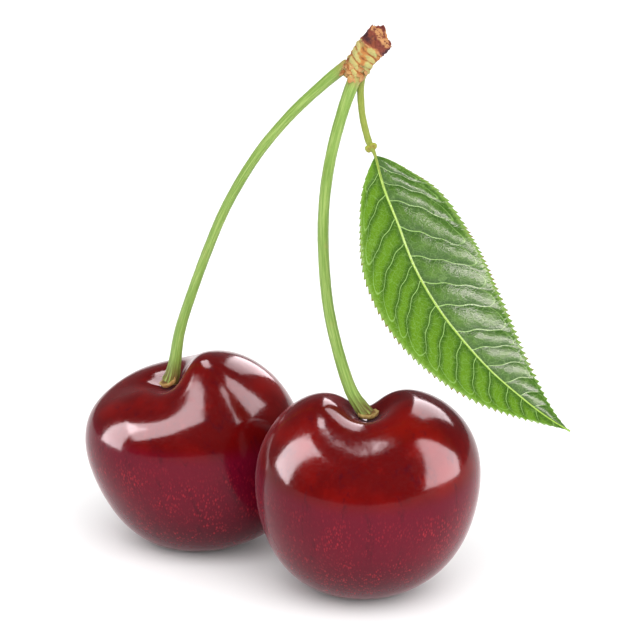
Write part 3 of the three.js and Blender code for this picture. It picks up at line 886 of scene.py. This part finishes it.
def make_leaf_stalk():
    """The leaf's own stalk runs a little way into the blade, and has a shallow groove above."""
    path = LEAF_STALK_PATH + MIDRIB_PATH[:2]
    share, angles = station_grid(*LEAF_STALK_GRID)
    along = share * path_length(path)
    groove = 1 - 0.16 * np.exp(-((turn_from(angles, 0) / 0.5) ** 2))
    flare = 0.28 * np.exp(-along / 0.7)
    taper = LEAF_STALK_RADIUS * (1 - 0.75 * np.clip((share - 0.58) / 0.2, 0, 1))
    reach = (taper + flare) * (groove + 0.02 * np.sin(8 * angles + along))
    reach += wobble(21, (along, 2.3, 0.008), (along, 5.3, 0.006))
    values = dict(along=0.2 + 0.7 * share, round_x=np.cos(angles), round_y=np.sin(angles))
    material = stalk_skin("leaf_stalk_skin", 4, LEAF_STALK_GREEN, LEAF_STALK_LIGHT)
    make_rod("leaf_stalk", path, along, reach, angles, material, None, values)
    last = np.array(LEAF_STALK_PATH[-1]) + MIDDLE_SHIFT
    for k, sign in enumerate((-1, 1)):
        make_gland(f"gland_{k + 1}", last + np.array([0.26 * sign, -0.06, 0.15 * sign]))


def make_gland(name, centre):
    """A small round nectar gland with a dimple on top."""
    share, angles = station_grid(*GLAND_GRID)
    down = share * math.pi
    reach = GLAND_RADIUS * np.sin(down) * (1 + 0.05 * np.sin(3 * angles))
    dimple = 0.16 * np.exp(-((reach / 0.16) ** 2)) * (share > 0.5)
    height = -GLAND_HALF_HEIGHT * np.cos(down) - dimple
    rings = np.stack([reach * np.cos(angles), -height, reach * np.sin(angles)], -1) + centre
    points = skin_points(rings)
    relief = skin_values(0.5 + 0.5 * np.cos(down), 1, 0)
    material = woody_skin(name + "_skin", GLAND_COLORS, scale=1600.0, depth=SMOOTH_GRAIN,
                          smoothest=0.25, roughest=0.4)
    make_piece(name, points, tube_faces(*reach.shape), material, None, dict(relief=relief))


right_fruit = make_fruit("fruit_right", RIGHT_FRUIT, "cherry_right", seed=1)
left_fruit = make_fruit("fruit_left", LEFT_FRUIT, "cherry_left", seed=2)
make_stalk("stalk_right_ribbed", RIGHT_STALK, RIGHT_COLLAR, "stalk_right", seed=1)
make_stalk("stalk_left_ribbed", LEFT_STALK, LEFT_COLLAR, "stalk_left", seed=2)
make_spur()
make_bark()
make_bud_scales()
leaf = make_leaf()
make_leaf_stalk()


# Floor, light and camera

def make_floor():
    """A plain white floor that is faintly uneven in its tone."""
    mesh = bpy.data.meshes.new("floor")
    half = FLOOR_HALF
    corners = [(-half, -half, 0), (half, -half, 0), (half, half, 0), (-half, half, 0)]
    mesh.from_pydata(corners, [], [(0, 1, 2, 3)])
    skin = Skin("floor_skin")
    faint = skin.noise(skin.place, 14.0, detail=2.0)
    color = skin.mix(skin.band(faint, 0.3, 0.7), FLOOR_DARK, FLOOR_LIGHT)
    mesh.materials.append(skin.finish(color, 0.55))
    floor = add_object("floor", mesh)


def panel(name, toward, upward, size, radiance, distance=PANEL_DISTANCE, rise=0.0, tint=WHITE):
    """A flat soft light. toward is the way from the fruits to it, before it is raised."""
    data = bpy.data.lights.new(name, "AREA")
    data.shape = "RECTANGLE"
    data.size, data.size_y = size
    data.energy = radiance * math.pi * data.size * data.size_y
    data.color = tint
    back = unit(toward)
    upright = unit(np.array(upward) - np.dot(upward, back) * back)
    across = np.cross(upright, back)
    light = add_object(name, data)
    light.rotation_euler = Matrix(np.stack([across, upright, back]).T.tolist()).to_euler()
    light.location = LIGHT_CENTRE + back * distance + np.array([0, 0, rise])
    light.visible_camera = False
    return light


def mirror_panel(name, piece, **place):
    """A soft light that is only seen as a reflection, and only in the given piece."""
    light = panel(name, tint=PINKISH, **place)
    light.visible_diffuse = False
    lit = bpy.data.collections.new(name + "_lit")
    lit.objects.link(piece)
    light.light_linking.receiver_collection = lit


def mirror_wall(name, piece, turn, half_turn, low, high, radiance, lean=0.0):
    """An upright mirror panel. turn and half_turn are degrees round the part, from the front to
    the right, and low and high are degrees above level."""
    turned = math.radians(turn)
    bottom = WALL_DISTANCE * math.tan(math.radians(low))
    top = WALL_DISTANCE * math.tan(math.radians(high))
    width = 2 * WALL_DISTANCE * math.tan(math.radians(half_turn))
    mirror_panel(name, piece, toward=(math.sin(turned), -math.cos(turned), 0),
                 upward=(lean * math.cos(turned), lean * math.sin(turned), 1),
                 size=(width, top - bottom), radiance=radiance,
                 distance=WALL_DISTANCE, rise=(top + bottom) / 2)


def light_right_fruit(fruit):
    mirror_wall("right_fruit_window_left", fruit, turn=-77, half_turn=14.5, low=1, high=66,
                radiance=33.0, lean=0.24)
    mirror_wall("right_fruit_window_right", fruit, turn=85, half_turn=25, low=-1, high=77,
                radiance=23.0, lean=0.14)
    mirror_wall("right_fruit_window_back", fruit, turn=153, half_turn=23, low=26, high=71,
                radiance=16.0)
    mirror_panel("right_fruit_window_top", fruit, toward=(-0.12, 0.02, 0.99), upward=(0, 1, 0),
                 size=(0.08, 0.07), radiance=42.0)


def light_left_fruit(fruit):
    mirror_wall("left_fruit_window_left", fruit, turn=-87, half_turn=16, low=-2, high=47,
                radiance=30.0)
    mirror_panel("left_fruit_window_front", fruit, toward=(-0.75, -0.66, 0),
                 upward=(0.50, -0.55, 0.67), size=(0.72, 0.95), radiance=27.0,
                 distance=WALL_DISTANCE, rise=0.785)
    mirror_wall("left_fruit_window_right_1", fruit, turn=60, half_turn=10, low=24, high=68,
                radiance=20.0)
    mirror_wall("left_fruit_window_right_2", fruit, turn=92, half_turn=17, low=28, high=64,
                radiance=20.0, lean=0.1)
    mirror_wall("left_fruit_window_back", fruit, turn=153, half_turn=8, low=1, high=47,
                radiance=8.0, lean=-0.47)
    mirror_panel("left_fruit_window_top", fruit, toward=(-0.085, 0.40, 0.91), upward=(0, 0, 1),
                 size=(0.2, 0.3), radiance=22.0)


def light_leaf(blade):
    mirror_wall("leaf_window_front", blade, turn=5, half_turn=5, low=3, high=12, radiance=17.0)
    mirror_wall("leaf_window_right", blade, turn=33, half_turn=22, low=-1, high=10, radiance=14.0)


def light_all():
    """Two big soft lights that aren't mirrored, and a white surrounding that mirrors darker."""
    soft = [
        panel("top_soft", toward=(0.1, -0.65, 0.72), upward=(0, 1, 0.01), size=(2.4, 2.4),
              radiance=2.3, distance=SOFT_DISTANCE),
        panel("right_soft", toward=(0.7, -0.6, 0.4), upward=(0, 1, 0.01), size=(1.6, 1.6),
              radiance=1.0, distance=SOFT_DISTANCE),
    ]
    for light in soft:
        light.visible_glossy = False
    world = bpy.data.worlds.new("studio")
    world.use_nodes = True
    nodes = world.node_tree.nodes
    links = world.node_tree.links
    background = nodes["Background"]
    reflected = nodes.new("ShaderNodeLightPath").outputs["Is Glossy Ray"]
    strength = nodes.new("ShaderNodeMapRange")
    links.new(reflected, strength.inputs["Value"])
    strength.inputs["To Min"].default_value = 1.0
    strength.inputs["To Max"].default_value = MIRRORED_SURROUNDING
    links.new(strength.outputs[0], background.inputs["Strength"])
    background.inputs["Color"].default_value = (*WHITE, 1.0)
    bpy.context.scene.world = world


def make_camera():
    """Looks at the part from the front and above. The lens gives PX_PER_MM at the target."""
    data = bpy.data.cameras.new("camera")
    data.sensor_width = SENSOR
    data.lens = SENSOR * CAMERA_DISTANCE * PX_PER_MM / PHOTO_SIZE
    data.clip_start = CAMERA_NEAREST
    data.clip_end = CAMERA_FARTHEST
    camera = add_object("camera", data)
    back = np.array([0.0, -math.cos(CAMERA_ELEVATION), math.sin(CAMERA_ELEVATION)])
    camera.location = (CAMERA_TARGET + back * CAMERA_DISTANCE) * MM
    camera.rotation_euler = (math.pi / 2 - CAMERA_ELEVATION, 0, 0)
    bpy.context.scene.camera = camera


make_floor()
light_right_fruit(right_fruit)
light_left_fruit(left_fruit)
light_leaf(leaf)
light_all()
make_camera()
bpy.context.scene.view_settings.view_transform = "Standard"
